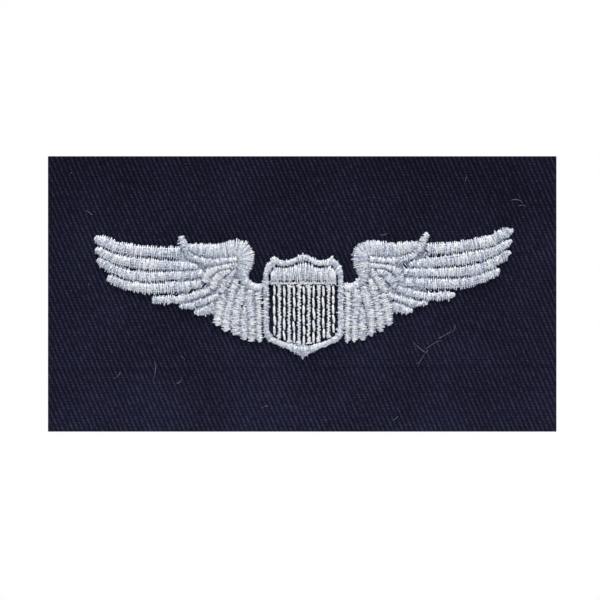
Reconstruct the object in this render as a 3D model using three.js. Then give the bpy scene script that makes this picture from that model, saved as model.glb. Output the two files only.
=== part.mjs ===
// Wings badge: a shield between two spread wings, embroidered in satin stitch on a
// rectangle of navy twill, with a non-woven backing cut flush with the cloth.
//
// Millimetres, +Z up. The badge stands upright as it is worn: its face looks along -Y,
// and +X is to the right of someone who looks at the face. The origin is the middle of
// the back, on the plane of the underside stitching that lies against the garment.
//
// Every satin column is a low half-round strip lying on the cloth. Its rungs are the
// lines that its stitches follow, from one edge of the column to the other.
import * as THREE from 'three';

// ---------------------------------------------------------------- driving dimensions

// Cloth and layers
const clothWidth = 92.3;
const clothHeight = 50;
const bobbinThickness = 0.2;
const backingThickness = 0.4;
const twillThickness = 0.5;

// Thread
const satinCrown = 0.75; // height of a wide column above the cloth
const rowCrown = 0.5; // height of a narrow row above the cloth
const columnGap = 0.16; // bare cloth between two columns that run side by side

// Emblem and shield, measured from the middle of the shield
const emblemShift = 0.2; // the emblem sits this far to the right of the cloth's middle
const shieldWidth = 14.5;
const shieldPeak = 7.3; // top of the middle of the upper edge
const shieldTip = -11.6; // lowest point
const borderWidth = 1;
const earInset = 1.95; // from the side in to the point of an ear
const earDrop = 0.55; // from the peak down to the point of an ear
const earSlant = 0.5; // the border's inner edge starts this far in from the ear
const earDepth = 0.4; // the border is this much deeper at an ear
const dipReach = 2.8; // the upper edge dips between the peak and each ear
const dipDrop = 1.15; // from the peak down to the dip
const cornerDrop = 1.9; // from an ear down to where the side has turned upright
const cornerHollow = 0.92; // the side lies this far in, halfway down that drop
const footRise = 3.1; // from the tip up to the corner where a side turns in towards it
const footTurn = 2.6; // height over which a side turns in
const footCorner = 0.8; // from the side in to the corner where the V begins
const footHollow = 0.37; // share of the drop from corner to tip that is made halfway along

// The border's depth where it is thicker or thinner, in border widths
const peakDepth = 1.15; // under the peak
const slopeDepth = 1.1; // halfway from the peak to a dip
const shoulderDepth = 0.75; // under the lower end of the hollow below an ear
const footDepth = 0.75; // over the corner where the V begins
const tipDepth = 2.17; // over the tip

// How the border's edges take their turns, as shares of the sizes of those turns
const dipStart = 0.4; // way from an ear to the dip where the outer edge is down at the dip's height
const innerDipStart = 0.52; // the same for the inner edge
const hollowEase = 1 / 3; // what is left of the hollow at its lower end
const innerHollow = 0.6; // the inner edge's hollow against the outer edge's
const innerHollowEase = 1 / 8; // what is left of the hollow at its lower end, on the inner edge
const footBend = 1 / 3; // height in the turn at the foot where the bend is laid out
const footEase = 1 / 5; // the outer edge's way in to the corner at that height
const innerFootEase = 1 / 6; // the inner edge's way in at that height
const innerFootTurn = 0.8; // height of the inner edge's turn against the outer edge's

// Inside the shield
const chiefBottom = 2.36;
const chiefClearance = 0.4; // bare cloth between the chief and the border
const chiefSlope = 0.9; // the chief's upper corner slopes over this width
const chiefCornerRise = 0.1; // from where the border's side turns upright up to the chief's corner
const chiefEdgeHeight = 0.55;
const chiefEdgeGap = 0.14;
const rowCount = 13; // chain rows and narrow satin rows, in turn
const rowSideGap = 0.662; // bare cloth between the outer rows and the border, on average
const rowShift = 0.1; // the rows sit this far to the right of the shield's middle
const rowClearance = 0.15; // bare cloth above and below each row
const chainWidth = 0.46;
const chainWaist = 0.2; // width where one chain stitch meets the next
const chainSwell = [0.9, 1, 0.8]; // shares of the full width along one chain stitch
const chainStitch = 1.8; // length of one chain stitch
const narrowSatinWidth = 0.64;

// Wings, measured from the side of the shield
const wingLength = 30.8;
const wingDepth = 19.6;
const wingRootGap = 0.1;
const wingTilt = 0.028; // rise per millimetre: the right wing tips up, the left one down
const tiltStart = 5; // distance from the shield where the tilt begins

// The shield's underside stitching keeps this far inside the outline of its face stitching
const bobbinInset = 0.4;

// ---------------------------------------------------------------- planes of the layers

const backingRear = -bobbinThickness;
const twillRear = backingRear - backingThickness;
const clothFace = twillRear - twillThickness;

// ---------------------------------------------------------------- materials

const thread = (color) => new THREE.MeshStandardMaterial({ color, roughness: 0.45, metalness: 0 });
const cloth = (color) => new THREE.MeshStandardMaterial({ color, roughness: 0.9, metalness: 0 });
const silverThread = () => thread(0xd9dbe0);
const bobbinThread = () => thread(0xe6e6e2);
const navyTwill = () => cloth(0x1c1d2b);
const whiteNonWoven = () => cloth(0xe4e3dd);

// ---------------------------------------------------------------- satin columns

const { degToRad, lerp, mapLinear } = THREE.MathUtils;
const dome = [0, 45, 90, 135, 180].map(degToRad);

// A half-round strip over a list of rungs, each { left, right, rise }: two points on the
// cloth and the height of the strip midway between them.
function satinStrip(rungs, mirrored = false) {
  const positions = [];
  for (const { left, right, rise } of rungs) {
    for (const angle of dome) {
      const share = (1 - Math.cos(angle)) / 2;
      positions.push(
        lerp(left.x, right.x, share),
        -rise * Math.sin(angle),
        lerp(left.y, right.y, share),
      );
    }
  }
  const ring = dome.length;
  const triangles = [];
  const addTriangle = (a, b, c) => triangles.push(...(mirrored ? [a, c, b] : [a, b, c]));
  for (let rung = 0; rung < rungs.length - 1; rung += 1) {
    for (let corner = 0; corner < ring; corner += 1) {
      const next = (corner + 1) % ring;
      const here = rung * ring;
      const there = here + ring;
      addTriangle(here + corner, here + next, there + corner);
      addTriangle(here + next, there + next, there + corner);
    }
  }
  const last = (rungs.length - 1) * ring;
  for (let corner = 1; corner < ring - 1; corner += 1) {
    addTriangle(0, corner + 1, corner);
    addTriangle(last, last + corner, last + corner + 1);
  }
  const geometry = new THREE.BufferGeometry();
  geometry.setAttribute('position', new THREE.Float32BufferAttribute(positions, 3));
  geometry.setIndex(triangles);
  geometry.computeVertexNormals();
  return geometry;
}

const smooth = (points) =>
  new THREE.CatmullRomCurve3(points.map(([x, y]) => new THREE.Vector3(x, y, 0)));

// Rungs between two edges that have the same number of points.
function rungsBetween(leftEdge, rightEdge, crown, stepsPerSpan = 2) {
  const leftCurve = smooth(leftEdge);
  const rightCurve = smooth(rightEdge);
  const steps = (leftEdge.length - 1) * stepsPerSpan;
  return Array.from({ length: steps + 1 }, (_, step) => ({
    left: leftCurve.getPoint(step / steps),
    right: rightCurve.getPoint(step / steps),
    rise: crown,
  }));
}

// Rungs square to a middle line through stations [along, up, width].
function rungsAlong(stations, crown, stepsPerSpan = 2) {
  const middle = smooth(stations);
  const breadth = smooth(stations.map(([, , width]) => [width, 0]));
  const steps = (stations.length - 1) * stepsPerSpan;
  return Array.from({ length: steps + 1 }, (_, step) => {
    const centre = middle.getPoint(step / steps);
    const forward = middle.getTangent(step / steps);
    const half = (breadth.getPoint(step / steps).x - columnGap) / 2;
    const across = new THREE.Vector3(-forward.y, forward.x, 0).multiplyScalar(half);
    return { left: centre.clone().add(across), right: centre.clone().sub(across), rise: crown };
  });
}

// Draws the last rung of a strip in, and lowers it, so that the strip ends in a tip:
// "round" adds a short cap, "point" draws the last stretch in to a narrow end.
const tipShapes = {
  round: [
    { reach: 0, width: 0.95, rise: 0.95 },
    { reach: 0.14, width: 0.72, rise: 0.8 },
    { reach: 0.22, width: 0.36, rise: 0.55 },
  ],
  point: [
    { reach: 0, width: 0.84, rise: 0.85 },
    { reach: 0.36, width: 0.26, rise: 0.5 },
  ],
};

function withTip(rungs, shape) {
  const end = rungs[rungs.length - 1];
  const before = rungs[rungs.length - 2];
  const middleOf = ({ left, right }) => left.clone().add(right).multiplyScalar(0.5);
  const endMiddle = middleOf(end);
  const forward = endMiddle.clone().sub(middleOf(before)).normalize();
  const width = end.left.distanceTo(end.right);
  const tip = tipShapes[shape].map((part) => {
    const centre = endMiddle.clone().addScaledVector(forward, part.reach * width);
    const half = end.left.clone().sub(endMiddle).multiplyScalar(part.width);
    return { left: centre.clone().add(half), right: centre.clone().sub(half), rise: end.rise * part.rise };
  });
  return [...rungs.slice(0, -1), ...tip];
}

function namedMesh(name, geometry, material) {
  const mesh = new THREE.Mesh(geometry, material);
  mesh.name = name;
  return mesh;
}

// A flat layer of the given outline [x, z], from the plane `rear` forward by `thickness`.
function flatLayer(outline, rear, thickness) {
  const shape = new THREE.Shape(outline.map(([x, z]) => new THREE.Vector2(x, z)));
  const geometry = new THREE.ExtrudeGeometry(shape, { depth: thickness, bevelEnabled: false });
  geometry.rotateX(Math.PI / 2);
  geometry.translate(0, rear, 0);
  return geometry;
}

// ---------------------------------------------------------------- cloth

const clothOutline = [
  [-clothWidth / 2, -clothHeight / 2],
  [clothWidth / 2, -clothHeight / 2],
  [clothWidth / 2, clothHeight / 2],
  [-clothWidth / 2, clothHeight / 2],
];

function makeCloth() {
  return [
    namedMesh('twill_panel', flatLayer(clothOutline, twillRear, twillThickness), navyTwill()),
    namedMesh('backing', flatLayer(clothOutline, backingRear, backingThickness), whiteNonWoven()),
  ];
}

// ---------------------------------------------------------------- shield

const shieldHalf = shieldWidth / 2;
const innerHalf = shieldHalf - borderWidth;
const earReach = shieldHalf - earInset;
const earTop = shieldPeak - earDrop;
const dipTop = shieldPeak - dipDrop;
const innerPeak = shieldPeak - borderWidth * peakDepth; // height of the inner edge under the peak
const cornerEnd = earTop - cornerDrop; // height where the side turns upright
const footTop = shieldTip + footRise; // height of the outer corner where the V begins
const footInner = footTop + borderWidth * footDepth; // height of the inner corner
const tipInner = shieldTip + borderWidth * tipDepth; // height of the inner edge over the tip
const bothSides = [-1, 1];

// Edges of the left half of the side border, from the ear round to the tip.
const sideOuterEdge = [
  [-earReach, earTop],
  [-shieldHalf + cornerHollow, earTop - cornerDrop / 2],
  [-shieldHalf + cornerHollow * hollowEase, cornerEnd],
  [-shieldHalf, cornerEnd - borderWidth],
  [-shieldHalf, (earTop + shieldTip) / 2],
  [-shieldHalf, footTop + footTurn],
  [-shieldHalf + footCorner * footEase, footTop + footTurn * footBend],
  [-shieldHalf + footCorner, footTop],
  [-shieldHalf / 2, lerp(footTop, shieldTip, footHollow)],
  [-columnGap / 2, shieldTip],
];
const sideInnerEdge = [
  [-earReach + earSlant, earTop - borderWidth - earDepth],
  [-innerHalf + cornerHollow * innerHollow, earTop - cornerDrop / 2 - borderWidth],
  [-innerHalf + cornerHollow * innerHollowEase, cornerEnd - borderWidth * shoulderDepth],
  [-innerHalf, cornerEnd - borderWidth - earDepth],
  [-innerHalf, (earTop + shieldTip) / 2],
  [-innerHalf, footInner + footTurn * innerFootTurn],
  [-innerHalf + footCorner * innerFootEase, footInner + footTurn * footBend],
  [-innerHalf + footCorner, footInner],
  [-innerHalf / 2, lerp(footInner, tipInner, 1 - footHollow)],
  [-columnGap / 2, tipInner],
];

// Edges of the left half of the upper border, from the ear to the peak.
const topOuterEdge = [
  [-earReach + columnGap, earTop],
  [-lerp(earReach, dipReach, dipStart), dipTop + columnGap / 2],
  [-dipReach, dipTop],
  [-dipReach / 2, (dipTop + shieldPeak) / 2],
  [0, shieldPeak],
];
const topInnerEdge = [
  [-earReach + earSlant + columnGap, earTop - borderWidth - earDepth],
  [-lerp(earReach, dipReach, innerDipStart), dipTop - borderWidth],
  [-dipReach, dipTop - borderWidth],
  [-dipReach / 2, (dipTop + shieldPeak) / 2 - borderWidth * slopeDepth],
  [0, innerPeak],
];

const mirrorEdge = (edge) => edge.map(([x, z]) => [-x, z]);

// Adds the mirrored right half to a left half that ends on the middle line.
const bothHalves = (leftHalf) => [...leftHalf, ...mirrorEdge(leftHalf.slice(0, -1)).reverse()];

function makeShieldBorder() {
  const top = rungsBetween(bothHalves(topOuterEdge), bothHalves(topInnerEdge), satinCrown);
  const left = rungsBetween(sideInnerEdge, sideOuterEdge, satinCrown);
  const right = rungsBetween(mirrorEdge(sideInnerEdge), mirrorEdge(sideOuterEdge), satinCrown);
  return [
    namedMesh('shield_border_top', satinStrip(top), silverThread()),
    namedMesh('shield_border_left', satinStrip(left), silverThread()),
    namedMesh('shield_border_right', satinStrip(right, true), silverThread()),
  ];
}

// The chief is the broad band of upright stitches across the top of the shield; a thin
// row closes its lower edge.
function makeChief() {
  const upperEdge = [
    [-innerHalf + chiefClearance, cornerEnd - borderWidth + chiefCornerRise],
    [-innerHalf + chiefClearance + chiefSlope, earTop - borderWidth - chiefSlope],
    [-dipReach, dipTop - borderWidth - chiefClearance],
    [0, innerPeak - chiefClearance],
  ];
  const fullUpperEdge = bothHalves(upperEdge);
  const lowerEdge = fullUpperEdge.map(([x]) => [x, chiefBottom]);
  const rowTop = chiefBottom - chiefEdgeGap;
  const rowReach = innerHalf - chiefClearance;
  const rowUpper = [[-rowReach, rowTop], [0, rowTop], [rowReach, rowTop]];
  const rowLower = rowUpper.map(([x, z]) => [x, z - chiefEdgeHeight]);
  return [
    namedMesh('shield_chief', satinStrip(rungsBetween(fullUpperEdge, lowerEdge, satinCrown)), silverThread()),
    namedMesh('shield_chief_edge', satinStrip(rungsBetween(rowUpper, rowLower, rowCrown)), silverThread()),
  ];
}

// Height of the border's inner edge along the V at x, from the same points as the edge.
function footInnerHeight(x) {
  const ends = sideInnerEdge.slice(-4).findLast(([edgeX]) => edgeX <= -Math.abs(x));
  const next = sideInnerEdge[sideInnerEdge.indexOf(ends) + 1];
  return mapLinear(-Math.abs(x), ends[0], next[0], ends[1], next[1]);
}

// An upright row of the shield, of the given width at each of its stations.
function uprightRow(x, top, bottom, widths) {
  const stations = widths.map((width, index) => ({
    z: lerp(top, bottom, index / (widths.length - 1)),
    half: width / 2,
  }));
  return stations.map(({ z, half }) => ({
    left: new THREE.Vector3(x + half, z, 0),
    right: new THREE.Vector3(x - half, z, 0),
    rise: rowCrown,
  }));
}

// Widths along a chain row: each stitch swells from the waist and back.
function chainWidths(length) {
  const stitches = Math.max(Math.round(length / chainStitch), 1);
  const oneStitch = [chainWaist, ...chainSwell.map((share) => share * chainWidth)];
  return [...Array.from({ length: stitches }, () => oneStitch).flat(), chainWaist];
}

function makeShieldRows() {
  const top = chiefBottom - chiefEdgeGap - chiefEdgeHeight - rowClearance;
  const outerRow = innerHalf - rowSideGap - chainWidth / 2;
  return Array.from({ length: rowCount }, (_, index) => {
    const x = rowShift + mapLinear(index, 0, rowCount - 1, -outerRow, outerRow);
    const isChain = index % 2 === 0;
    const half = (isChain ? chainWidth : narrowSatinWidth) / 2;
    const bottom = Math.max(footInnerHeight(x - half), footInnerHeight(x + half)) + rowClearance;
    const widths = isChain ? chainWidths(top - bottom) : [narrowSatinWidth, narrowSatinWidth];
    const number = Math.floor(index / 2) + 1;
    const name = isChain ? `shield_chain_row_${number}` : `shield_satin_row_${number}`;
    return namedMesh(name, satinStrip(uprightRow(x, top, bottom, widths)), silverThread());
  });
}

function shieldBobbinOutline() {
  const half = shieldHalf - bobbinInset;
  const rightHalf = [
    [0, shieldPeak - bobbinInset],
    [dipReach, dipTop - bobbinInset],
    [earReach - bobbinInset / 2, earTop - 2 * bobbinInset],
    [half, earTop - cornerDrop - bobbinInset],
    [half, footTop + bobbinInset],
    [0, shieldTip + 2 * bobbinInset],
  ];
  return [...rightHalf.reverse(), ...mirrorEdge(rightHalf).reverse().slice(1, -1)];
}

// ---------------------------------------------------------------- wings

// The columns of one wing, as stations [along, up, width] on a wing that is drawn
// `drawnLength` long and `drawnDepth` deep. Side-by-side widths touch here; the gap
// between columns is taken off when the rungs are made.
const drawnLength = 30.8;
const drawnDepth = 19.6;

const wingColumns = {
  leading_edge: [
    [13.3, 8.7, 1.2], [12, 8.4, 2], [10.4, 8.1, 2.4], [8.6, 7.95, 2.6], [6.6, 8.2, 2.9], [4.7, 8.4, 2.9],
    [3.35, 7.8, 3], [2.92, 6.5, 3.05], [3.22, 5.1, 2.8], [3.65, 3.7, 2.15], [3.3, 2.5, 1.6], [2, 1.5, 1.5],
    [0.15, 1.05, 1.7],
  ],
  alula: [
    [4.75, 6.4, 1.05], [6.8, 6.08, 1.2], [8.8, 5.9, 1.2], [10.8, 6.15, 1.2], [12.6, 6.8, 1.25],
    [13.8, 7.9, 1.3], [14.5, 9.3, 1.6], [14.9, 10.5, 1.3],
  ],
  primary_1: [
    [15.2, 7.8, 2.3], [17.7, 7.9, 2.3], [20, 8.1, 2.1], [22.9, 8.4, 2.2], [25.9, 8.9, 2.4], [27.6, 9.5, 2.2],
    [29.1, 10.3, 2.1], [30.2, 10.65, 1.6],
  ],
  primary_2: [
    [11.9, 5.15, 0.9], [13.4, 5.35, 1.5], [16.4, 5.5, 1.95], [20, 5.8, 2.35], [22.9, 6.1, 2.35],
    [25.9, 6.65, 2.1], [27.7, 7.35, 1.9], [29.1, 8.15, 1.7], [30.1, 8.75, 1.4],
  ],
  primary_3: [
    [11, 3.95, 1.3], [13.1, 3.75, 1.6], [16.4, 3.6, 1.8], [20.6, 3.55, 2], [23.7, 3.9, 2], [26, 4.6, 1.95],
    [27.9, 5.5, 1.9], [29.1, 6.25, 1.7], [29.8, 6.75, 1.4],
  ],
  primary_4: [
    [11.3, 2.1, 1.5], [12.6, 1.95, 1.75], [14.6, 1.65, 2], [17.3, 1.5, 2.2], [20.4, 1.45, 2.1],
    [22.8, 1.7, 2], [24.8, 2.2, 1.9], [26.6, 2.9, 1.7], [27.9, 3.55, 1.4],
  ],
  secondary_1: [
    [9.7, 0.75, 1], [11.2, 0.35, 1.4], [12.8, -0.15, 1.5], [14.6, -0.6, 1.5], [16.4, -0.7, 1.7],
    [18.4, -0.7, 1.7], [19.8, -0.6, 1.3],
  ],
  secondary_2: [
    [8.15, -0.2, 0.9], [9.7, -0.85, 1.2], [11.1, -1.32, 1.3], [12.6, -1.8, 1.3], [13.9, -1.95, 1.2],
    [14.9, -1.95, 0.9],
  ],
  secondary_3: [
    [8.95, -1.85, 1.05], [9.5, -2.4, 1.55], [10.3, -2.95, 1.7], [11.3, -3.2, 1.4], [12.2, -3.15, 1],
  ],
  covert_1: [[4.8, 5.3, 1.1], [6.9, 4.96, 1.05], [8.6, 4.72, 1.2], [9.85, 3.9, 1.5], [10.45, 2.6, 1.5]],
  covert_2: [[5.95, 4.3, 0.75], [7.45, 3.72, 1.3], [8.5, 2.6, 1.65], [9.1, 1.4, 1.6]],
  covert_3: [[4.95, 4.35, 0.8], [5.75, 3.3, 1.25], [6.75, 1.65, 1.55], [7.4, 0.6, 1.35]],
  tertial_1: [[7.05, -0.1, 1.1], [7.65, -1.8, 1.75], [8.1, -3.6, 1.65], [8.2, -5.3, 1.5]],
  tertial_2: [
    [4.8, 2.55, 0.9], [5.25, 1.3, 1.4], [5.8, -0.5, 1.5], [6.05, -2, 1.5], [6.4, -3.5, 1.55],
    [6.65, -4.9, 1.6], [6.6, -6.4, 1.5],
  ],
  tertial_3: [
    [3.55, 1.3, 0.9], [3.95, -0.3, 1.65], [4.4, -2, 1.65], [4.8, -3.5, 1.65], [5.05, -5.2, 1.6],
    [5, -7.1, 1.5],
  ],
  tertial_4: [[3.3, -2.5, 0.45], [3.4, -3.8, 1.2], [3.45, -5.3, 1.5], [3.4, -7.9, 1.5]],
  tertial_5: [[2.15, 0.65, 1.1], [2.5, -1.4, 1.6], [2.25, -3.1, 1.35], [2, -4.7, 1.3], [1.95, -8.3, 1.3]],
  tertial_6: [[0.75, 0.25, 1.2], [0.7, -4.4, 1.25], [0.65, -8.4, 1.2]],
};

// The outline of one wing's underside stitching, [along, up] on the drawn wing.
const wingBobbinOutline = [
  [0.6, 1.6], [2.6, 2.2], [3.2, 3.6], [2.4, 5.3], [2, 6.9], [2.2, 8.3], [3.5, 9.1], [5.1, 9.4], [8.6, 8.8],
  [11.7, 8.9], [14.3, 9.6], [15.5, 8.5], [20, 8.7], [25.5, 9.6], [27.5, 10.1], [29.1, 10.8], [30.2, 10.7],
  [29.8, 7.8], [28.6, 5.3], [27.3, 3.5], [25.6, 2], [23.6, 1.2], [20, 0.6], [19.4, -0.9], [15.5, -1.3],
  [14.3, -2.1], [11.9, -3.1], [9, -3.6], [8.5, -5.3], [6.8, -6.1], [5, -7.2], [3.7, -8], [0.6, -8.3],
];

const lengthScale = wingLength / drawnLength;
const depthScale = wingDepth / drawnDepth;

// Takes a point of the drawn wing to its place beside the shield on one side, -1 or 1.
function placeOnWing(along, up, side) {
  const distance = along * lengthScale;
  const tilt = side * wingTilt * Math.max(distance - tiltStart, 0);
  return new THREE.Vector3(side * (shieldHalf + wingRootGap + distance), up * depthScale + tilt, 0);
}

function makeWing(side) {
  const word = side < 0 ? 'left' : 'right';
  const tip = side < 0 ? 'round' : 'point';
  const squareEnded = ['leading_edge'];
  const columns = Object.entries(wingColumns).map(([name, stations]) => {
    const drawn = rungsAlong(stations, satinCrown);
    const shaped = squareEnded.includes(name) ? drawn : withTip(drawn, tip);
    const placed = shaped.map(({ left, right, rise }) => ({
      left: placeOnWing(left.x, left.y, side),
      right: placeOnWing(right.x, right.y, side),
      rise,
    }));
    return namedMesh(`${word}_${name}`, satinStrip(placed, side < 0), silverThread());
  });
  const outline = wingBobbinOutline.map(([along, up]) => placeOnWing(along, up, side).toArray());
  const bobbin = namedMesh(`${word}_wing_bobbin`, flatLayer(outline, 0, bobbinThickness), bobbinThread());
  return { columns, bobbin };
}

// ---------------------------------------------------------------- assembly

const faceStitching = new THREE.Group();
faceStitching.position.set(emblemShift, clothFace, 0);
const undersideStitching = new THREE.Group();
undersideStitching.position.x = emblemShift;

faceStitching.add(...makeShieldBorder(), ...makeChief(), ...makeShieldRows());
const shieldBobbin = flatLayer(shieldBobbinOutline(), 0, bobbinThickness);
undersideStitching.add(namedMesh('shield_bobbin', shieldBobbin, bobbinThread()));
for (const side of bothSides) {
  const wing = makeWing(side);
  faceStitching.add(...wing.columns);
  undersideStitching.add(wing.bobbin);
}

const badge = new THREE.Group();
badge.add(...makeCloth(), faceStitching, undersideStitching);

export default badge;
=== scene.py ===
"""Dresses the wings badge: satin-stitched wings and shield on a rectangle of navy twill.

Every embroidered column of the frame becomes a run of twisted threads that cross it from edge
to edge, over a padding of lengthwise threads. The cloth is a woven relief, and the back shows
the bobbin thread. Lengths in the fields below are millimetres unless a comment says otherwise.
"""
import logging
import math
import random
from dataclasses import dataclass, field
from enum import Enum

import bmesh
import bpy
from bpy.types import Material, Node, NodeSocket, Object
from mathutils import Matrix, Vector, kdtree, noise


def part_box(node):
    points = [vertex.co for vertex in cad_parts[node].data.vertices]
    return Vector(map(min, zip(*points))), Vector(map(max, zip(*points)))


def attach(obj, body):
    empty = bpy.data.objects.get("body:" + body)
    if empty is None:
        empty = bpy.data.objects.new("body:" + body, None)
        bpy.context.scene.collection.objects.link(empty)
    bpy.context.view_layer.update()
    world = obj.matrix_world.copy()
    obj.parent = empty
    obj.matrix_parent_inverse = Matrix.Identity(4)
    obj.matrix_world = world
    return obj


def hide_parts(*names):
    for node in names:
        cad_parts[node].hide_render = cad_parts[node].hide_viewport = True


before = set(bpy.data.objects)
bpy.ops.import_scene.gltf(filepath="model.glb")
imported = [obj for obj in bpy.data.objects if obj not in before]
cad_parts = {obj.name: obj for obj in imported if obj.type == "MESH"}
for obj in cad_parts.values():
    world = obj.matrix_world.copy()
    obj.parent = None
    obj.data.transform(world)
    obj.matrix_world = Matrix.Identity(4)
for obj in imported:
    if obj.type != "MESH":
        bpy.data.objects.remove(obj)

MM = 0.001
TURN = 2 * math.pi
FACE_OUT = Vector((0, -1, 0))  # from the cloth towards someone who looks at the face
BACK_OUT = Vector((0, 1, 0))
WALE_PITCH = 0.88  # from one diagonal rib of the twill to the next, measured level
WALE_LEAN = 0.435  # how far a rib leans sideways for each millimetre up
PICK_PITCH = 0.5102  # from one pair of weft yarns to the next
WELD = 0.002  # vertices of the frame that are nearer than this are one
LEVEL = 0.01  # vertices of the frame within this of a plane lie in it
log = logging.getLogger("badge")


class Slot(Enum):
    """The record's material slots."""

    TWILL = "twill"
    BACKING = "backing"
    SILVER = "silver_thread"
    BOBBIN = "bobbin_thread"


class Lay(Enum):
    """How a thread lies: arched over the cloth from needle hole to needle hole, or along a path."""

    ARCHED = 1.0
    ALONG = 0.0


# ---------------------------- node graphs


@dataclass
class Graph:
    """A node tree that is being built."""

    tree: bpy.types.NodeTree

    def add(self, kind: str, *inputs: object, **settings: object) -> Node:
        """Adds a node.

        Args:
            kind: The node's type.
            inputs: For each input socket in order, a socket to link, a value, or None to leave it.
            settings: Properties of the node.

        Returns:
            The new node.
        """
        node = self.tree.nodes.new(kind)
        for name, value in settings.items():
            setattr(node, name, value)
        for socket, value in zip(node.inputs, inputs):
            self.feed(socket, value)
        return node

    def feed(self, socket: NodeSocket, value: object) -> None:
        """Links a socket to another, or sets its own value."""
        if isinstance(value, NodeSocket):
            self.tree.links.new(value, socket)
        elif value is not None:
            socket.default_value = value

    def math(self, operation: str, *inputs: object) -> NodeSocket:
        """Adds a Math node and returns its result."""
        return self.add("ShaderNodeMath", *inputs, operation=operation).outputs[0]

    def line(self, value: object, slope: object, start: object) -> NodeSocket:
        """Returns a value times a slope, plus a start."""
        return self.math("MULTIPLY_ADD", value, slope, start)

    def times(self, *two: object) -> NodeSocket:
        """Returns the product of two values."""
        return self.math("MULTIPLY", *two)

    def vector(self, operation: str, *inputs: object) -> NodeSocket:
        """Adds a Vector Math node and returns its vector."""
        return self.add("ShaderNodeVectorMath", *inputs, operation=operation).outputs[0]

    def noise(self, place: object, scale: float, detail: float = 2.0) -> NodeSocket:
        """Returns a Noise texture's factor; its mean is a half."""
        node = self.add("ShaderNodeTexNoise", place)
        node.inputs["Scale"].default_value = scale
        node.inputs["Detail"].default_value = detail
        return node.outputs[0]

    def wave(self, function: str, place: object, pitch: float) -> NodeSocket:
        """Returns the sine or cosine of a place that repeats with a pitch."""
        return self.math(function, self.times(place, TURN / pitch))

    def scaled(self, vector: object, scale: object) -> NodeSocket:
        """Returns a vector times a number."""
        node = self.add("ShaderNodeVectorMath", vector, operation="SCALE")
        self.feed(node.inputs["Scale"], scale)
        return node.outputs[0]


# ---------------------------- finishes


@dataclass(frozen=True)
class Finish:
    """What every finish shares: a name, a roughness and a specular level."""

    name: str
    roughness: float
    specular: float

    def shader(self) -> tuple[Material, Graph, Node]:
        """Starts the material.

        Returns:
            The material, its graph and its Principled BSDF, with the uniform values set.
        """
        material = bpy.data.materials.new(self.name)
        material.use_nodes = True
        graph = Graph(material.node_tree)
        surface = material.node_tree.nodes["Principled BSDF"]
        surface.inputs["Roughness"].default_value = self.roughness
        surface.inputs["Specular IOR Level"].default_value = self.specular
        return material, graph, surface

    def millimetres(self, graph: Graph) -> NodeSocket:
        """Returns the place on the object in millimetres."""
        place = graph.add("ShaderNodeTexCoord").outputs["Object"]
        return graph.scaled(place, 1 / MM)

    def colour(self, graph: Graph, surface: Node, factor: object,
               stops: list[tuple[float, tuple]]) -> None:
        """Colours the surface by a ramp of linear colours at their positions.

        Args:
            graph: The material's graph.
            surface: Its Principled BSDF.
            factor: What the ramp reads.
            stops: Positions and linear colours.
        """
        node = graph.add("ShaderNodeValToRGB", factor)
        elements = node.color_ramp.elements
        while len(elements) < len(stops):
            elements.new(0.5)
        for element, (position, colour) in zip(elements, stops):
            element.position = position
            element.color = (*colour, 1)
        graph.feed(surface.inputs["Base Color"], node.outputs["Color"])

    def bump(self, graph: Graph, surface: Node, height: object, distance: float) -> None:
        """Adds a bump whose full height is `distance` millimetres.

        Args:
            graph: The material's graph.
            surface: Its Principled BSDF.
            height: The height, as a share of the distance.
            distance: The full height in millimetres.
        """
        node = graph.add("ShaderNodeBump")
        node.inputs["Distance"].default_value = distance * MM
        graph.feed(node.inputs["Height"], height)
        graph.feed(surface.inputs["Normal"], node.outputs["Normal"])


@dataclass(frozen=True)
class ThreadFinish(Finish):
    """Twisted embroidery thread: lighter and darker specks along it, which are painted highlights and
    painted shade of the plies, over fine filaments.
    """

    shade: tuple = (0.29, 0.35, 0.50)
    body: tuple = (0.73, 0.80, 0.96)
    light: tuple = (1.0, 1.0, 1.0)
    sheen: float = 0.25
    filament: float = 0.05  # width of the filaments that the bump shows
    filament_height: float = 0.02
    grain: float = 0.28  # length of the light and dark specks along a thread: painted highlights and shade of the twisted plies
    ply_glint_contrast: float = 3.1
    tone_weight: float = 0.6
    drift: float = 0.3  # weight of the slow change across the badge
    drift_scale: float = 0.35
    lightness: float = 0.07
    phase_spread: float = 9.0  # sets the specks of threads with different phases apart

    def material(self) -> Material:
        """Returns the finished material."""
        material, graph, surface = self.shader()
        place = self.millimetres(graph)
        drift = graph.noise(place, self.drift_scale)
        tone, phase, along = (graph.add("ShaderNodeAttribute", attribute_name=name).outputs["Fac"]
                              for name in ("tone", "phase", "along"))
        thread = graph.add("ShaderNodeCombineXYZ", graph.math("DIVIDE", along, self.grain * MM),
                           graph.times(phase, self.phase_spread)).outputs[0]
        grain = graph.noise(thread, 1.0, detail=1.0)
        # random specks along each thread, as painted highlights and painted shade of the twisted plies
        painted_ply_glints = graph.line(grain, self.ply_glint_contrast, -self.ply_glint_contrast / 2)
        mixed = graph.line(tone, self.tone_weight, painted_ply_glints)
        slow = graph.line(drift, self.drift, self.lightness)
        mixed = graph.math("ADD", mixed, slow)
        stops = [(0.05, self.shade), (0.5, self.body), (0.95, self.light)]
        self.colour(graph, surface, mixed, stops)
        surface.inputs["Sheen Weight"].default_value = self.sheen
        fine = graph.noise(place, 1 / self.filament)
        self.bump(graph, surface, fine, self.filament_height)
        return material


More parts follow.
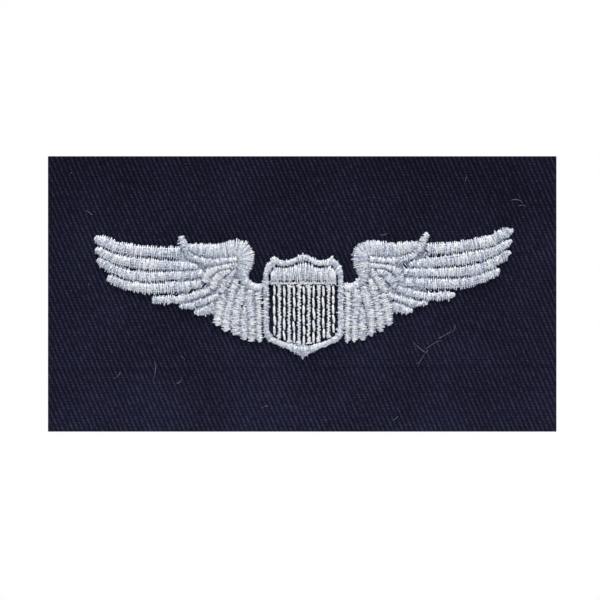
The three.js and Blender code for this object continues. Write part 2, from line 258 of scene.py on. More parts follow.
@dataclass(frozen=True)
class TwillFinish(Finish):
    """Navy cotton twill, with lighter wales, fuzzy yarns and a slow mottle."""

    # the colour follows the bump's height, so the dark furrow stop is partly the weave's own lines and
    # partly painted shade in the furrows
    furrow: tuple = (0.0018, 0.0021, 0.0055)
    wale: tuple = (0.0128, 0.0138, 0.040)
    palest: tuple = (0.031, 0.033, 0.066)
    yarn_pitch: float = 0.22
    sharpness: float = 1.4  # power that narrows the light part of a wale
    wale_weight: float = 0.75
    pick_weight: float = 0.3
    pick_mean: float = 0.8
    break_scale: float = 0.9  # noise that breaks the wales up
    break_weight: float = 2.0
    break_mean: float = -0.05
    yarn_weight: float = 0.05
    fuzz_scale: float = 4.0
    fuzz_weight: float = 1.5
    fuzz_mean: float = -0.26
    mottle_scale: float = 0.07
    mottle_weight: float = 0.5
    downward_lightening: float = 0.004  # the cloth is this much lighter for each millimetre down
    darkness: float = 0.55
    bump_height: float = 0.05

    def material(self) -> Material:
        """Returns the finished material."""
        material, graph, surface = self.shader()
        place = self.millimetres(graph)
        parts = graph.add("ShaderNodeSeparateXYZ", place).outputs
        along = graph.line(parts[2], WALE_LEAN, parts[0])
        wales = graph.wave("COSINE", along, WALE_PITCH)
        ridge = graph.math("POWER", graph.line(wales, -0.5, 0.5), self.sharpness)
        breaks = graph.noise(place, self.break_scale)
        whole = graph.line(breaks, self.break_weight, self.break_mean)
        ridge = graph.times(ridge, whole)
        picks = graph.wave("SINE", parts[2], PICK_PITCH)
        dashes = graph.line(picks, self.pick_weight, self.pick_mean)
        dashes = graph.times(ridge, dashes)
        fuzz = graph.noise(place, self.fuzz_scale, detail=3.0)
        fuzz = graph.line(fuzz, self.fuzz_weight, self.fuzz_mean)
        height = graph.line(dashes, self.wale_weight, fuzz)
        yarns = graph.wave("SINE", parts[0], self.yarn_pitch)
        height = graph.math("ADD", graph.times(yarns, self.yarn_weight), height)
        downward_tint = graph.line(parts[2], -self.downward_lightening, -self.darkness)
        mottle = graph.noise(place, self.mottle_scale)
        mottle = graph.line(mottle, self.mottle_weight, downward_tint)
        # colour from the bump height: painted shade in the furrows besides the weave's lines
        factor = graph.math("ADD", mottle, height)
        stops = [(0.05, self.furrow), (0.75, self.wale), (1.0, self.palest)]
        self.colour(graph, surface, factor, stops)
        self.bump(graph, surface, height, self.bump_height)
        return material


@dataclass(frozen=True)
class NonWovenFinish(Finish):
    """White cut-away backing: a felt of fine fibres without direction."""

    fibre: tuple = (0.68, 0.67, 0.62)
    # the hollow colour lies where the bump is lowest, between the fibres: the felt's fibre pattern with
    # painted shade in its hollows
    hollow: tuple = (0.52, 0.51, 0.46)
    bend_scale: float = 0.8
    bend: float = 1.6  # how far the noise bends the fibres
    fibre_scale: float = 1.7
    fibre_weight: float = 1.2
    cloud_scale: float = 0.5
    cloud_weight: float = 0.5
    lightness: float = 0.25
    bump_height: float = 0.08

    def material(self) -> Material:
        """Returns the finished material."""
        material, graph, surface = self.shader()
        place = self.millimetres(graph)
        bend = graph.add("ShaderNodeTexNoise", place)
        bend.inputs["Scale"].default_value = self.bend_scale
        bent = graph.vector("ADD", place, graph.scaled(bend.outputs["Color"], self.bend))
        fibres = graph.add("ShaderNodeTexVoronoi", bent, feature="DISTANCE_TO_EDGE").outputs["Distance"]
        fibres.node.inputs["Scale"].default_value = self.fibre_scale
        cloud = graph.noise(place, self.cloud_scale, detail=5.0)
        cloud = graph.line(cloud, self.cloud_weight, self.lightness)
        web = graph.line(fibres, -self.fibre_weight, cloud)
        self.colour(graph, surface, web, [(0.1, self.hollow), (0.55, self.fibre)])
        self.bump(graph, surface, web, self.bump_height)
        return material


@dataclass(frozen=True)
class LintFinish(Finish):
    """Pale dust fibres that have settled on the cloth."""

    dull: tuple = (0.10, 0.11, 0.15)
    pale: tuple = (0.42, 0.43, 0.48)
    grain_scale: float = 1.5
    bump_height: float = 0.01

    def material(self) -> Material:
        """Returns the finished material."""
        material, graph, surface = self.shader()
        grain = graph.noise(self.millimetres(graph), self.grain_scale)
        self.colour(graph, surface, grain, [(0.35, self.dull), (0.65, self.pale)])
        self.bump(graph, surface, grain, self.bump_height)
        return material


# ---------------------------- threads


@dataclass
class ThreadPlan:
    """Where threads go, before they are given their thickness."""

    points: list[Vector] = field(default_factory=list)
    edges: list[tuple[int, int]] = field(default_factory=list)
    values: dict[str, list[float]] = field(default_factory=dict)

    def add(self, path: list[Vector], lay: Lay, **values: float) -> None:
        """Adds one thread.

        Args:
            path: Its points, in metres. An arched thread has two, its needle holes.
            lay: How it lies.
            values: rise and bow of an arched thread in metres, plies, thick, phase and tone.
        """
        start = len(self.points)
        self.points.extend(path)
        self.edges.extend((start + i, start + i + 1) for i in range(len(path) - 1))
        full = {"rise": 0.0, "bow": 0.0, "plies": 1.0, "thick": 1.0, "phase": 0.0, "tone": 0.5}
        full.update(values, arch=lay.value)
        for name, value in full.items():
            self.values.setdefault(name, []).extend([value] * len(path))

    def mesh(self, name: str) -> bpy.types.Mesh:
        """Returns the plan as a mesh of loose edges, with its values as point attributes."""
        mesh = bpy.data.meshes.new(name)
        mesh.from_pydata(self.points, self.edges, [])
        for attribute, numbers in self.values.items():
            mesh.attributes.new(attribute, "FLOAT", "POINT").data.foreach_set("value", numbers)
        return mesh


@dataclass
class ThreadMaker:
    """The Geometry Nodes tree that turns a thread plan into twisted thread."""

    strand_sides: int = 4
    spans: int = 7  # stretches that a short arched thread has
    tree: bpy.types.NodeTree | None = None

    def build(self) -> None:
        """Builds the tree, with its sizes as named inputs."""
        self.tree = bpy.data.node_groups.new("twisted_thread", "GeometryNodeTree")
        graph = Graph(self.tree)
        socket = self.tree.interface.new_socket
        socket("Threads", in_out="INPUT", socket_type="NodeSocketGeometry")
        for name in ("Strand Radius", "Ply Radius", "Twist Length", "Step", "Path Step", "Sink"):
            socket(name, in_out="INPUT", socket_type="NodeSocketFloat")
        socket("Outward", in_out="INPUT", socket_type="NodeSocketVector")
        socket("Thread", in_out="INPUT", socket_type="NodeSocketMaterial")
        socket("Result", in_out="OUTPUT", socket_type="NodeSocketGeometry")
        given = graph.add("NodeGroupInput").outputs
        arch, rise, bow = (self._value(graph, name) for name in ("arch", "rise", "bow"))
        curves = graph.add("GeometryNodeMeshToCurve", given["Threads"]).outputs[0]
        curves = self._resampled(graph, curves, given, arch)
        curves = self._arched(graph, curves, given, arch, rise, bow)
        curves = self._twisted(graph, curves, given)
        profile = graph.add("GeometryNodeCurvePrimitiveCircle", self.strand_sides)
        graph.feed(profile.inputs["Radius"], given["Strand Radius"])
        tube = graph.add("GeometryNodeCurveToMesh", curves, profile.outputs[0], self._value(graph, "thick"))
        tube.inputs["Fill Caps"].default_value = True
        smooth = graph.add("GeometryNodeSetShadeSmooth", tube.outputs[0]).outputs[0]
        whole = graph.add("GeometryNodeRealizeInstances", smooth).outputs[0]
        dressed = graph.add("GeometryNodeSetMaterial", whole, None, given["Thread"]).outputs[0]
        graph.add("NodeGroupOutput", dressed)

    def _value(self, graph: Graph, name: str) -> NodeSocket:
        """Returns a named value of the plan."""
        return graph.add("GeometryNodeInputNamedAttribute", name, data_type="FLOAT").outputs[0]

    def _resampled(self, graph: Graph, curves: object, given: object, arch: object) -> NodeSocket:
        """Cuts arched threads into even short stretches and the others into longer ones.

        Args:
            graph: The tree's graph.
            curves: The threads.
            given: The tree's inputs.
            arch: Whether a thread is arched.

        Returns:
            The resampled curves.
        """
        length = graph.add("GeometryNodeSplineLength").outputs[0]
        fine = graph.math("MINIMUM", given["Step"], graph.math("DIVIDE", length, self.spans))
        coarse = graph.times(given["Path Step"], graph.math("SUBTRACT", 1.0, arch))
        step = graph.line(fine, arch, coarse)
        node = graph.add("GeometryNodeResampleCurve", curves, mode="LENGTH")
        graph.feed(node.inputs["Length"], step)
        return node.outputs[0]

    def _arched(self, graph: Graph, curves: object, given: object, arch: object, rise: object,
                bow: object) -> NodeSocket:
        """Lifts arched threads into half an ellipse over the cloth, and bows them sideways.

        Args:
            graph: The tree's graph.
            curves: The threads.
            given: The tree's inputs.
            arch: Whether a thread is arched.
            rise: The height of a thread's middle.
            bow: How far its middle lies to one side.

        Returns:
            The moved curves.
        """
        share = graph.add("GeometryNodeSplineParameter").outputs["Factor"]
        tangent = graph.add("GeometryNodeInputTangent").outputs[0]
        length = graph.add("GeometryNodeSplineLength").outputs[0]
        angle = graph.times(share, math.pi)
        sine = graph.math("MAXIMUM", graph.math("SINE", angle), 0.0)
        even = graph.line(graph.math("COSINE", angle), -0.5, 0.5)
        slide = graph.times(graph.math("SUBTRACT", even, share), length)
        slide = graph.times(slide, arch)
        height = graph.times(graph.math("ADD", rise, given["Sink"]), sine)
        height = graph.times(graph.math("SUBTRACT", height, given["Sink"]), arch)
        sideways = graph.scaled(graph.vector("CROSS_PRODUCT", tangent, given["Outward"]),
                                graph.times(bow, sine))
        moved = graph.vector("ADD", graph.scaled(tangent, slide), graph.scaled(given["Outward"], height))
        moved = graph.vector("ADD", moved, sideways)
        node = graph.add("GeometryNodeSetPosition", curves)
        graph.feed(node.inputs["Offset"], moved)
        return node.outputs[0]

    def _twisted(self, graph: Graph, curves: object, given: object) -> NodeSocket:
        """Lays each thread's plies round its path as a helix.

        Args:
            graph: The tree's graph.
            curves: The threads.
            given: The tree's inputs.

        Returns:
            The plies as curves, with the distance along them stored as 'along'.
        """
        plies = self._value(graph, "plies")
        copies = graph.add("GeometryNodeDuplicateElements", curves, None, plies, domain="SPLINE")
        distance = graph.add("GeometryNodeSplineParameter").outputs["Length"]
        turns = graph.math("DIVIDE", distance, given["Twist Length"])
        turns = graph.math("ADD", turns, graph.math("DIVIDE", copies.outputs[1], plies))
        angle = graph.line(turns, TURN, self._value(graph, "phase"))
        tangent = graph.add("GeometryNodeInputTangent").outputs[0]
        across = graph.vector("NORMALIZE", graph.vector("CROSS_PRODUCT", tangent, given["Outward"]))
        above = graph.vector("CROSS_PRODUCT", across, tangent)
        helix = graph.vector("ADD", graph.scaled(across, graph.math("COSINE", angle)),
                             graph.scaled(above, graph.math("SINE", angle)))
        away = graph.times(given["Ply Radius"], graph.math("SUBTRACT", plies, 1.0))
        marked = graph.add("GeometryNodeStoreNamedAttribute", copies.outputs[0], data_type="FLOAT")
        marked.inputs["Name"].default_value = "along"
        graph.feed(marked.inputs["Value"], distance)
        node = graph.add("GeometryNodeSetPosition", marked.outputs[0])
        graph.feed(node.inputs["Offset"], graph.scaled(helix, away))
        return node.outputs[0]

    def grow(self, name: str, plan: ThreadPlan, material: Material,
             **sizes: object) -> Object:
        """Makes a piece from a plan.

        Args:
            name: The piece's name.
            plan: Its threads.
            material: The thread's material.
            sizes: The tree's other inputs, with _ for the spaces; lengths in millimetres.

        Returns:
            The piece, as a plain mesh.
        """
        piece = bpy.data.objects.new(name, plan.mesh(name))
        bpy.context.collection.objects.link(piece)
        modifier = piece.modifiers.new("threads", "NODES")
        modifier.node_group = self.tree
        usual = {"Strand_Radius": 0.078, "Ply_Radius": 0.055, "Twist_Length": 1.6, "Step": 0.3,
                 "Path_Step": 0.6, "Sink": 0.15, "Outward": FACE_OUT}
        usual.update(sizes)
        for item in self.tree.interface.items_tree:
            key = item.name.replace(" ", "_")
            if key == "Outward":
                modifier[item.identifier] = usual[key]
            elif key in usual:
                modifier[item.identifier] = usual[key] * MM
            elif key == "Thread":
                modifier[item.identifier] = material
        graph = bpy.context.evaluated_depsgraph_get()
        evaluated = piece.evaluated_get(graph)
        made = bpy.data.meshes.new_from_object(evaluated, preserve_all_data_layers=True, depsgraph=graph)
        piece.modifiers.clear()
        piece.data = made
        made.name = name
        return piece


# ---------------------------- columns


@dataclass(frozen=True)
class Rung:
    """A line across a column, from its left edge to its right edge."""

    left: Vector
    right: Vector
    rise: float

    @property
    def middle(self) -> Vector:
        """The middle of the rung."""
        return (self.left + self.right) / 2

    @property
    def width(self) -> float:
        """The rung's length, in metres."""
        return (self.right - self.left).length


@dataclass
class Column:
    """An embroidered column of the frame, read as its rungs in order."""

    name: str
    rungs: list[Rung] = field(default_factory=list)
    reach: list[float] = field(default_factory=list)  # how far along the longer edge each rung is

    def __post_init__(self) -> None:
        """Reads the rungs from the frame's mesh and sorts them along the column."""
        found = self._find_rungs()
        self.rungs = self._in_order(found)
        self.reach = [0.0]
        for before, after in zip(self.rungs, self.rungs[1:]):
            advance = max((after.left - before.left).length, (after.right - before.right).length)
            self.reach.append(self.reach[-1] + advance)

    def _find_rungs(self) -> list[tuple[Vector, Vector, float]]:
        """Finds the edges on the cloth that have a crown point of the column above their middle."""
        shape = node_shape(self.name)
        cloth = max(vertex.co.y for vertex in shape.verts)
        crowns = [vertex.co.copy() for vertex in shape.verts if vertex.co.y < cloth - LEVEL * MM]
        found = []
        for edge in shape.edges:
            a, b = (vertex.co for vertex in edge.verts)
            if min(a.y, b.y) < cloth - LEVEL * MM:
                continue
            middle = (a + b) / 2
            for crown in crowns:
                if math.hypot(middle.x - crown.x, middle.z - crown.z) < LEVEL / 2 * MM:
                    found.append((a.copy(), b.copy(), cloth - crown.y))
        shape.free()
        return found

    def _in_order(self, found: list[tuple[Vector, Vector, float]]) -> list[Rung]:
        """Walks from one end of the column to the other, always to the nearest rung.

        Args:
            found: The ends and rise of each rung, in any order.

        Returns:
            The rungs in order, each with its left end first.
        """
        middles = [(a + b) / 2 for a, b, _ in found]
        here = self._end_of(middles)
        left_over = set(range(len(found))) - {here}
        order = [here]
        while left_over:
            here = min(left_over, key=lambda i: (middles[i] - middles[order[-1]]).length)
            left_over.remove(here)
            order.append(here)
        rungs = []
        for place, index in enumerate(order):
            a, b, rise = found[index]
            ahead = middles[order[min(place + 1, len(order) - 1)]] - middles[order[max(place - 1, 0)]]
            turned = ahead.cross(b - a).dot(FACE_OUT) > 0
            rungs.append(Rung(b, a, rise) if turned else Rung(a, b, rise))
        return rungs

    def _end_of(self, middles: list[Vector]) -> int:
        """Returns the index of an end: the one from which a walk to the nearest is shortest.

        Args:
            middles: The middle of each rung.

        Returns:
            The index of the first rung.
        """
        def walk(start: int) -> float:
            left_over = set(range(len(middles))) - {start}
            here, total = start, 0.0
            while left_over:
                ahead = min(left_over, key=lambda i: (middles[i] - middles[here]).length)
                total += (middles[ahead] - middles[here]).length
                left_over.remove(ahead)
                here = ahead
            return total
        return min(range(len(middles)), key=lambda i: (round(walk(i), 6), middles[i].x))

    @property
    def length(self) -> float:
        """The column's length along its longer edge, in metres."""
        return self.reach[-1]

    def across(self, distance: float) -> Rung:
        """Returns the rung at a distance along the column, or straight on past one of its ends.

        Args:
            distance: How far along, in metres; can be past an end.

        Returns:
            The rung there.
        """
        beyond = min(distance, 0.0) + max(distance - self.length, 0.0)
        distance -= beyond
        last = len(self.rungs) - 2
        index = next((i for i in range(last + 1) if distance <= self.reach[i + 1]), last)
        share = (distance - self.reach[index]) / (self.reach[index + 1] - self.reach[index])
        four = [self.rungs[min(max(index + step, 0), last + 1)] for step in (-1, 0, 1, 2)]
        left = smooth_between([rung.left for rung in four], share)
        right = smooth_between([rung.right for rung in four], share)
        rise = four[1].rise + (four[2].rise - four[1].rise) * share
        ahead = (four[2].middle - four[1].middle).normalized() * beyond
        return Rung(left + ahead, right + ahead, rise)


def node_shape(name: str) -> bmesh.types.BMesh:
    """Returns a node of the frame as a shape whose faces share their vertices."""
    shape = bmesh.new()
    shape.from_mesh(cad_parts[name].data)
    bmesh.ops.remove_doubles(shape, verts=shape.verts, dist=WELD * MM)
    return shape


def smooth_between(points: list[Vector], share: float) -> Vector:
    """Returns the point a share of the way from the second to the third on a Catmull-Rom curve.

    Args:
        points: Four points of the curve.
        share: How far from the second point to the third, from 0 to 1.

    Returns:
        The point.
    """
    a, b, c, d = points
    return 0.5 * (2 * b + (c - a) * share + (2 * a - 5 * b + 4 * c - d) * share ** 2
                  + (3 * b - a - 3 * c + d) * share ** 3)


@dataclass
class Surroundings:
    """The edges of all the columns, to tell where one has another beside it."""

    columns: list[Column]
    sampling: float = 0.25
    reach: float = 0.5  # a column that is nearer than this counts as a neighbour
    blunt: float = 1.2  # an end that is wider than this can run on with both its corners

    def __post_init__(self) -> None:
        """Samples every edge into one search tree."""
        samples = []
        for number, column in enumerate(self.columns):
            steps = max(round(column.length / (self.sampling * MM)), 1)
            for step in range(steps + 1):
                rung = column.across(column.length * step / steps)
                samples.extend((number, point) for point in (rung.left, rung.right))
        self.owners = [number for number, _ in samples]
        self.tree = kdtree.KDTree(len(samples))
        for index, (_, point) in enumerate(samples):
            self.tree.insert(point, index)
        self.tree.balance()

    def meets(self, column: Column, end: Rung) -> bool:
        """Tells whether a column runs on into another at one of its ends."""
        sides = all(self.crowded(column, point) for point in (end.left, end.right))
        return self.crowded(column, end.middle) or (sides and end.width > self.blunt * MM)

    def crowded(self, column: Column, point: Vector) -> bool:
        """Tells whether another column's edge is close to a point of this one."""
        found = self.tree.find(point, filter=lambda i: self.columns[self.owners[i]] is not column)
        return found[2] < self.reach * MM


@dataclass
class Satin:
    """How a column is stitched."""

    pitch: float = 0.2  # from one thread to the next
    overrun: float = 0.07  # beside a neighbour the needle goes in this far outside the edge
    free: float = 0.02  # and this far at a free edge; less than nothing is inside it
    ragged: float = 0.12  # spread of the needle holes about a free edge
    mingling: float = 0.12  # spread of the needle holes beside a neighbour
    stray: float = 0.22  # spread of the holes along the edge, as a share of the pitch
    thread: float = 1.0  # thickness against the usual thread
    thickness: tuple = (0.85, 1.1)  # from the thinnest stitch to the thickest
    tones: tuple = (0.0, 1.05)  # from the dullest thread to the brightest
    fullness: float = 1.0  # height of the stitches against the column's
    heights: tuple = (0.8, 1.08)  # from the tightest stitch to the loosest
    sway: float = 0.05  # spread of the stitches' sideways bow
    padding_pitch: float = 0.42
    padding_height: float = 0.44  # share of the column's rise
    padding_thread: float = 1.8  # thickness against the usual thread
    # the padding's dull tone is painted shade for the shadow under the satin
    padding_shade_tone: float = 0.3
    thread_radius: float = 0.13

    def plan(self, column: Column, around: Surroundings, chance: random.Random) -> ThreadPlan:
        """Plans a column's padding and the thread that zigzags over it from hole to hole.

        Args:
            column: The column to cover.
            around: The edges of all the columns.
            chance: The source of the small differences between stitches.

        Returns:
            The plan of the whole column.
        """
        plan = ThreadPlan()
        self._pad(plan, column)
        ends = [around.meets(column, rung) for rung in (column.rungs[0], column.rungs[-1])]
        start, stop = (self.overrun * MM * end for end in ends)
        run = column.length + start + stop
        count = max(round(run / (self.pitch * MM)), 2)
        before = None
        for index in range(count + 1):
            place = index / count * run - start + chance.gauss(0, self.stray) * self.pitch * MM
            rung = column.across(place)
            hole = self._hole(rung, index % 2 == 1, column, around, chance)
            if before is not None:
                crown = rung.rise * self.fullness - self.thread_radius * MM
                plan.add([before, hole], Lay.ARCHED, plies=2.0,
                         rise=crown * chance.uniform(*self.heights),
                         bow=chance.gauss(0, self.sway) * MM,
                         thick=self.thread * chance.uniform(*self.thickness),
                         phase=chance.uniform(0, TURN), tone=chance.uniform(*self.tones))
            before = hole
        return plan

    def _hole(self, rung: Rung, at_right: bool, column: Column, around: Surroundings,
              chance: random.Random) -> Vector:
        """Returns a needle hole at one end of a rung.

        Args:
            rung: The rung.
            at_right: Whether it is the right end.
            column: The column that is stitched.
            around: The edges of all the columns.
            chance: The source of small differences.

        Returns:
            The hole.
        """
        end, other = (rung.right, rung.left) if at_right else (rung.left, rung.right)
        beyond, spread = self.free, self.ragged
        if around.crowded(column, end):
            beyond, spread = self.overrun, self.mingling
        return end + (end - other).normalized() * (beyond + chance.gauss(0, spread)) * MM

    def _pad(self, plan: ThreadPlan, column: Column) -> None:
        """Adds the lengthwise threads that the satin rides on.

        Args:
            plan: The plan to add to.
            column: The column to pad.
        """
        widest = max(rung.width for rung in column.rungs)
        count = max(round(widest / (self.padding_pitch * MM)) - 1, 1)
        for index in range(count):
            share = (index + 1) / (count + 1)
            lift = self.padding_height * 2 * math.sqrt(share * (1 - share))
            path = [rung.left.lerp(rung.right, share) + FACE_OUT * rung.rise * lift
                    for rung in column.rungs]
            # the padding takes a dull tone as painted shade
            plan.add(path, Lay.ALONG, thick=self.padding_thread, tone=self.padding_shade_tone)


@dataclass
class Embroidery:
    """The satin columns and rows on the face."""

    maker: ThreadMaker
    thread: Material
    wing: Satin = field(default_factory=Satin)
    # the inner and row satins get brighter tones of the same thread: painted light, for the highlights on
    # the level threads of the tertials and coverts and against the shade between the rows
    inner: Satin = field(default_factory=lambda: Satin(overrun=0.03, mingling=0.11, tones=(0.3, 1.25)))
    border: Satin = field(default_factory=lambda: Satin(overrun=0.13, free=-0.05, ragged=0.13))
    chief: Satin = field(default_factory=lambda: Satin(fullness=1.35, tones=(0.1, 1.1)))
    row: Satin = field(default_factory=lambda: Satin(pitch=0.24, free=-0.06, ragged=0.06, thread=1.15,
                                                    tones=(0.6, 1.3)))
    chain_length: float = 1.9
    chain_unevenness: float = 0.12  # share of its length by which a stitch is off its place
    chain_bow: float = 0.14
    chain_bows: tuple = (0.7, 1.2)
    chain_gap: float = 0.07
    chain_slant: float = 0.05
    chain_sway: float = 0.04  # spread of the slant and of the sideways place
    chain_rise: float = 0.22
    chain_ridge: float = 0.08  # how much higher the middle strand lies
    chain_thread: float = 0.85  # thickness against the usual thread
    chain_tones: tuple = (0.7, 1.2)

    def build(self) -> None:
        """Makes one piece for each column of the frame."""
        names = [n for n in sorted(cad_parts) if n not in ("twill_panel", "backing")]
        columns = {n: Column(n) for n in names if not n.endswith("_bobbin") and "chain_row" not in n}
        around = Surroundings([c for n, c in columns.items() if "satin_row" not in n])
        for seed, name in enumerate(n for n in names if not n.endswith("_bobbin")):
            chance = random.Random(seed)
            if "chain_row" in name:
                plan = self.chain(name, chance)
            elif "satin_row" in name or name == "shield_chief_edge":
                plan = self.row.plan(columns[name], around, chance)
            else:
                satin = self.inner if "tertial" in name or "covert" in name else self.wing
                if name.startswith("shield"):
                    satin = self.chief if name == "shield_chief" else self.border
                plan = satin.plan(columns[name], around, chance)
            piece = self.maker.grow(f"{name}_stitches", plan, self.thread)
            declare(piece, name)

    def chain(self, name: str, chance: random.Random) -> ThreadPlan:
        """Plans a row of long leaf-shaped stitches, each of a few strands side by side.

        Args:
            name: The row's node.
            chance: The source of the small differences between stitches.

        Returns:
            The row's plan.
        """
        low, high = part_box(name)
        middle = (low.x + high.x) / 2
        count = max(round((high.z - low.z) / (self.chain_length * MM)), 1)
        step = (high.z - low.z) / count
        plan = ThreadPlan()
        off = self.chain_unevenness
        cuts = [high.z - (index + chance.uniform(-off, off)) * step for index in range(count + 1)]
        for upper, lower in zip(cuts, cuts[1:]):
            slant = chance.gauss(self.chain_slant, self.chain_sway) * MM
            shift = chance.gauss(0, self.chain_sway) * MM
            top = Vector((middle + shift - slant, high.y, upper - self.chain_gap * MM))
            foot = Vector((middle + shift + slant, high.y, lower + self.chain_gap * MM))
            for side in (-1, 0, 1):
                rise = self.chain_rise + self.chain_ridge * (side == 0)
                plan.add([top, foot], Lay.ARCHED, plies=2.0, rise=rise * MM,
                         bow=side * self.chain_bow * chance.uniform(*self.chain_bows) * MM,
                         thick=self.chain_thread, phase=chance.uniform(0, TURN),
                         tone=chance.uniform(*self.chain_tones))
        return plan


@dataclass
class Underlay:
    """The sparse bed of slanting stitches under each wing, seen where two columns part."""

    maker: ThreadMaker
    thread: Material
    pitch: float = 0.25
    stitch: float = 2.2
    lengths: tuple = (0.7, 1.1)  # from the shortest stitch to the longest
    rise: float = 0.12
    rises: tuple = (0.7, 1.3)
    # dull tones as painted shade, so that the seams between columns read darker
    tones: tuple = (0.0, 0.4)
    slope: float = 52.0  # degrees of the stitches to the horizontal
    reach: float = 23.5  # the bed ends this far from the middle of the cloth
    missing: float = 0.05  # share of the stitches that are left out

    def build(self) -> None:
        """Makes the bed of both wings."""
        for side, group in ((1, "left_wing"), (-1, "right_wing")):
            plan = self._plan(f"{group}_bobbin", side, random.Random(side))
            piece = self.maker.grow(f"{group}_underlay", plan, self.thread)
            declare(piece)

    def _plan(self, outline_node: str, side: int, chance: random.Random) -> ThreadPlan:
        """Plans rows of stitches across the outline of a wing's underside.

        Args:
            outline_node: The node whose outline the bed fills.
            side: 1 for the wing at +X, -1 for the other.
            chance: The source of small differences.

        Returns:
            The bed's plan.
        """
        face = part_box("twill_panel")[0].y
        angle = math.radians(self.slope)
        along = Vector((side * math.cos(angle), 0, math.sin(angle)))
        across = Vector((-side * math.sin(angle), 0, math.cos(angle)))
        edges = self._outline(outline_node)
        places = [point.dot(across) for edge in edges for point in edge]
        plan = ThreadPlan()
        place = min(places)
        while place < max(places):
            place += self.pitch * MM
            cuts = []
            for first, second in edges:
                a, b = first.dot(across) - place, second.dot(across) - place
                if (a < 0) != (b < 0):
                    cuts.append(first.lerp(second, a / (a - b)).dot(along))
            cuts.sort()
            for start, stop in zip(cuts[::2], cuts[1::2]):
                self._row(plan, across * place, along, start, stop, face, chance)
        return plan

    def _row(self, plan: ThreadPlan, base: Vector, along: Vector, start: float, stop: float, face: float,
             chance: random.Random) -> None:
        """Adds one row of stitches, with some left out.

        Args:
            plan: The plan to add to.
            base: The foot of the row's line.
            along: The row's direction.
            start: Where on the line the row starts.
            stop: Where it stops.
            face: The cloth's front plane.
            chance: The source of small differences.
        """
        here = start
        while here < stop:
            there = min(here + self.stitch * chance.uniform(*self.lengths) * MM, stop)
            ends = [base + along * reach for reach in (here, there)]
            if abs(ends[0].x) < self.reach * MM and chance.random() > self.missing:
                for end in ends:
                    end.y = face
                plan.add(ends, Lay.ARCHED, plies=2.0,
                         rise=self.rise * MM * chance.uniform(*self.rises),
                         phase=chance.uniform(0, TURN), tone=chance.uniform(*self.tones))
            here = there

    def _outline(self, name: str) -> list[tuple[Vector, Vector]]:
        """Returns the edges round the front face of a flat node.

        Args:
            name: The node's name.

        Returns:
            The two ends of each edge.
        """
        shape = node_shape(name)
        shape.normal_update()
        front = min(vertex.co.y for vertex in shape.verts)
        found = []
        for edge in shape.edges:
            level = all(vertex.co.y < front + LEVEL * MM for vertex in edge.verts)
            if level and any(abs(face.normal.y) < 0.5 for face in edge.link_faces):
                found.append(tuple(vertex.co.copy() for vertex in edge.verts))
        shape.free()
        return found


@dataclass
class Underside:
    """The back of the stitching: a band of bobbin thread between loops of the face thread."""

    maker: ThreadMaker
    bobbin: Material
    thread: Material
    pitch: float = 0.4
    band: float = 0.5  # share of a column's width that the bobbin thread covers
    band_spread: float = 0.06
    margin: float = 0.08  # least share of the width that the loops keep at each edge
    rise: float = 0.08
    sink: float = 0.05
    radius: float = 0.13
    thickness: tuple = (0.8, 1.05)

    def build(self) -> None:
        """Makes the underside of the shield and of each wing."""
        for group in ("shield", "left_wing", "right_wing"):
            prefix = group.removesuffix("_wing") + "_"
            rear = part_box(f"{group}_bobbin")[0].y
            bands, loops = ThreadPlan(), ThreadPlan()
            chance = random.Random(len(group))
            for name in sorted(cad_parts):
                if name.startswith(prefix) and not name.endswith("_bobbin"):
                    self._cover(Column(name), rear, bands, loops, chance)
            sizes = {"Strand_Radius": self.radius, "Sink": self.sink, "Outward": BACK_OUT}
            piece = self.maker.grow(f"{group}_underside", bands, self.bobbin, **sizes)
            sides = self.maker.grow(f"{group}_loops", loops, self.thread, **sizes)
            join(piece, sides)
            declare(piece, f"{group}_bobbin")

    def _cover(self, column: Column, rear: float, bands: ThreadPlan, loops: ThreadPlan,
               chance: random.Random) -> None:
        """Plans the underside of one column.

        Args:
            column: The column.
            rear: The stitching's rear plane.
            bands: The plan of the bobbin thread.
            loops: The plan of the face thread's loops.
            chance: The source of small differences.
        """
        count = max(round(column.length / (self.pitch * MM)), 2)
        for index in range(count):
            rung = column.across((index + 0.5) / count * column.length)
            left = Vector((rung.left.x, rear, rung.left.z))
            right = Vector((rung.right.x, rear, rung.right.z))
            edge = (1 - self.band) / 2 + chance.gauss(0, self.band_spread)
            cuts = [0.0, max(edge, self.margin), min(1 - edge, 1 - self.margin), 1.0]
            stops = [left.lerp(right, cut) for cut in cuts]
            for plan, first, second in ((loops, 0, 1), (bands, 1, 2), (loops, 2, 3)):
                plan.add([stops[first], stops[second]], Lay.ARCHED, rise=self.rise * MM,
                         thick=chance.uniform(*self.thickness), tone=chance.random())


def declare(piece: Object, node: str | None = None) -> None:
    """Says what a piece rides on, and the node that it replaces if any.

    Args:
        piece: The piece.
        node: The node that it replaces, if any.
    """
    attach(piece, "root")
    if node:
        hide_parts(node)
    log.info("%s: %d faces", piece.name, len(piece.data.polygons))


def join(piece: Object, other: Object) -> None:
    """Adds another piece's mesh and material to a piece, and removes the other.

    Args:
        piece: The piece to add to.
        other: The piece that goes.
    """
    piece.data.materials.append(other.data.materials[0])
    both = bmesh.new()
    both.from_mesh(piece.data)
    first = len(both.faces)
    both.from_mesh(other.data)
    both.faces.ensure_lookup_table()
    for face in both.faces[first:]:
        face.material_index = len(piece.data.materials) - 1
    both.to_mesh(piece.data)
    both.free()
    bpy.data.objects.remove(other)


# ---------------------------- cloth


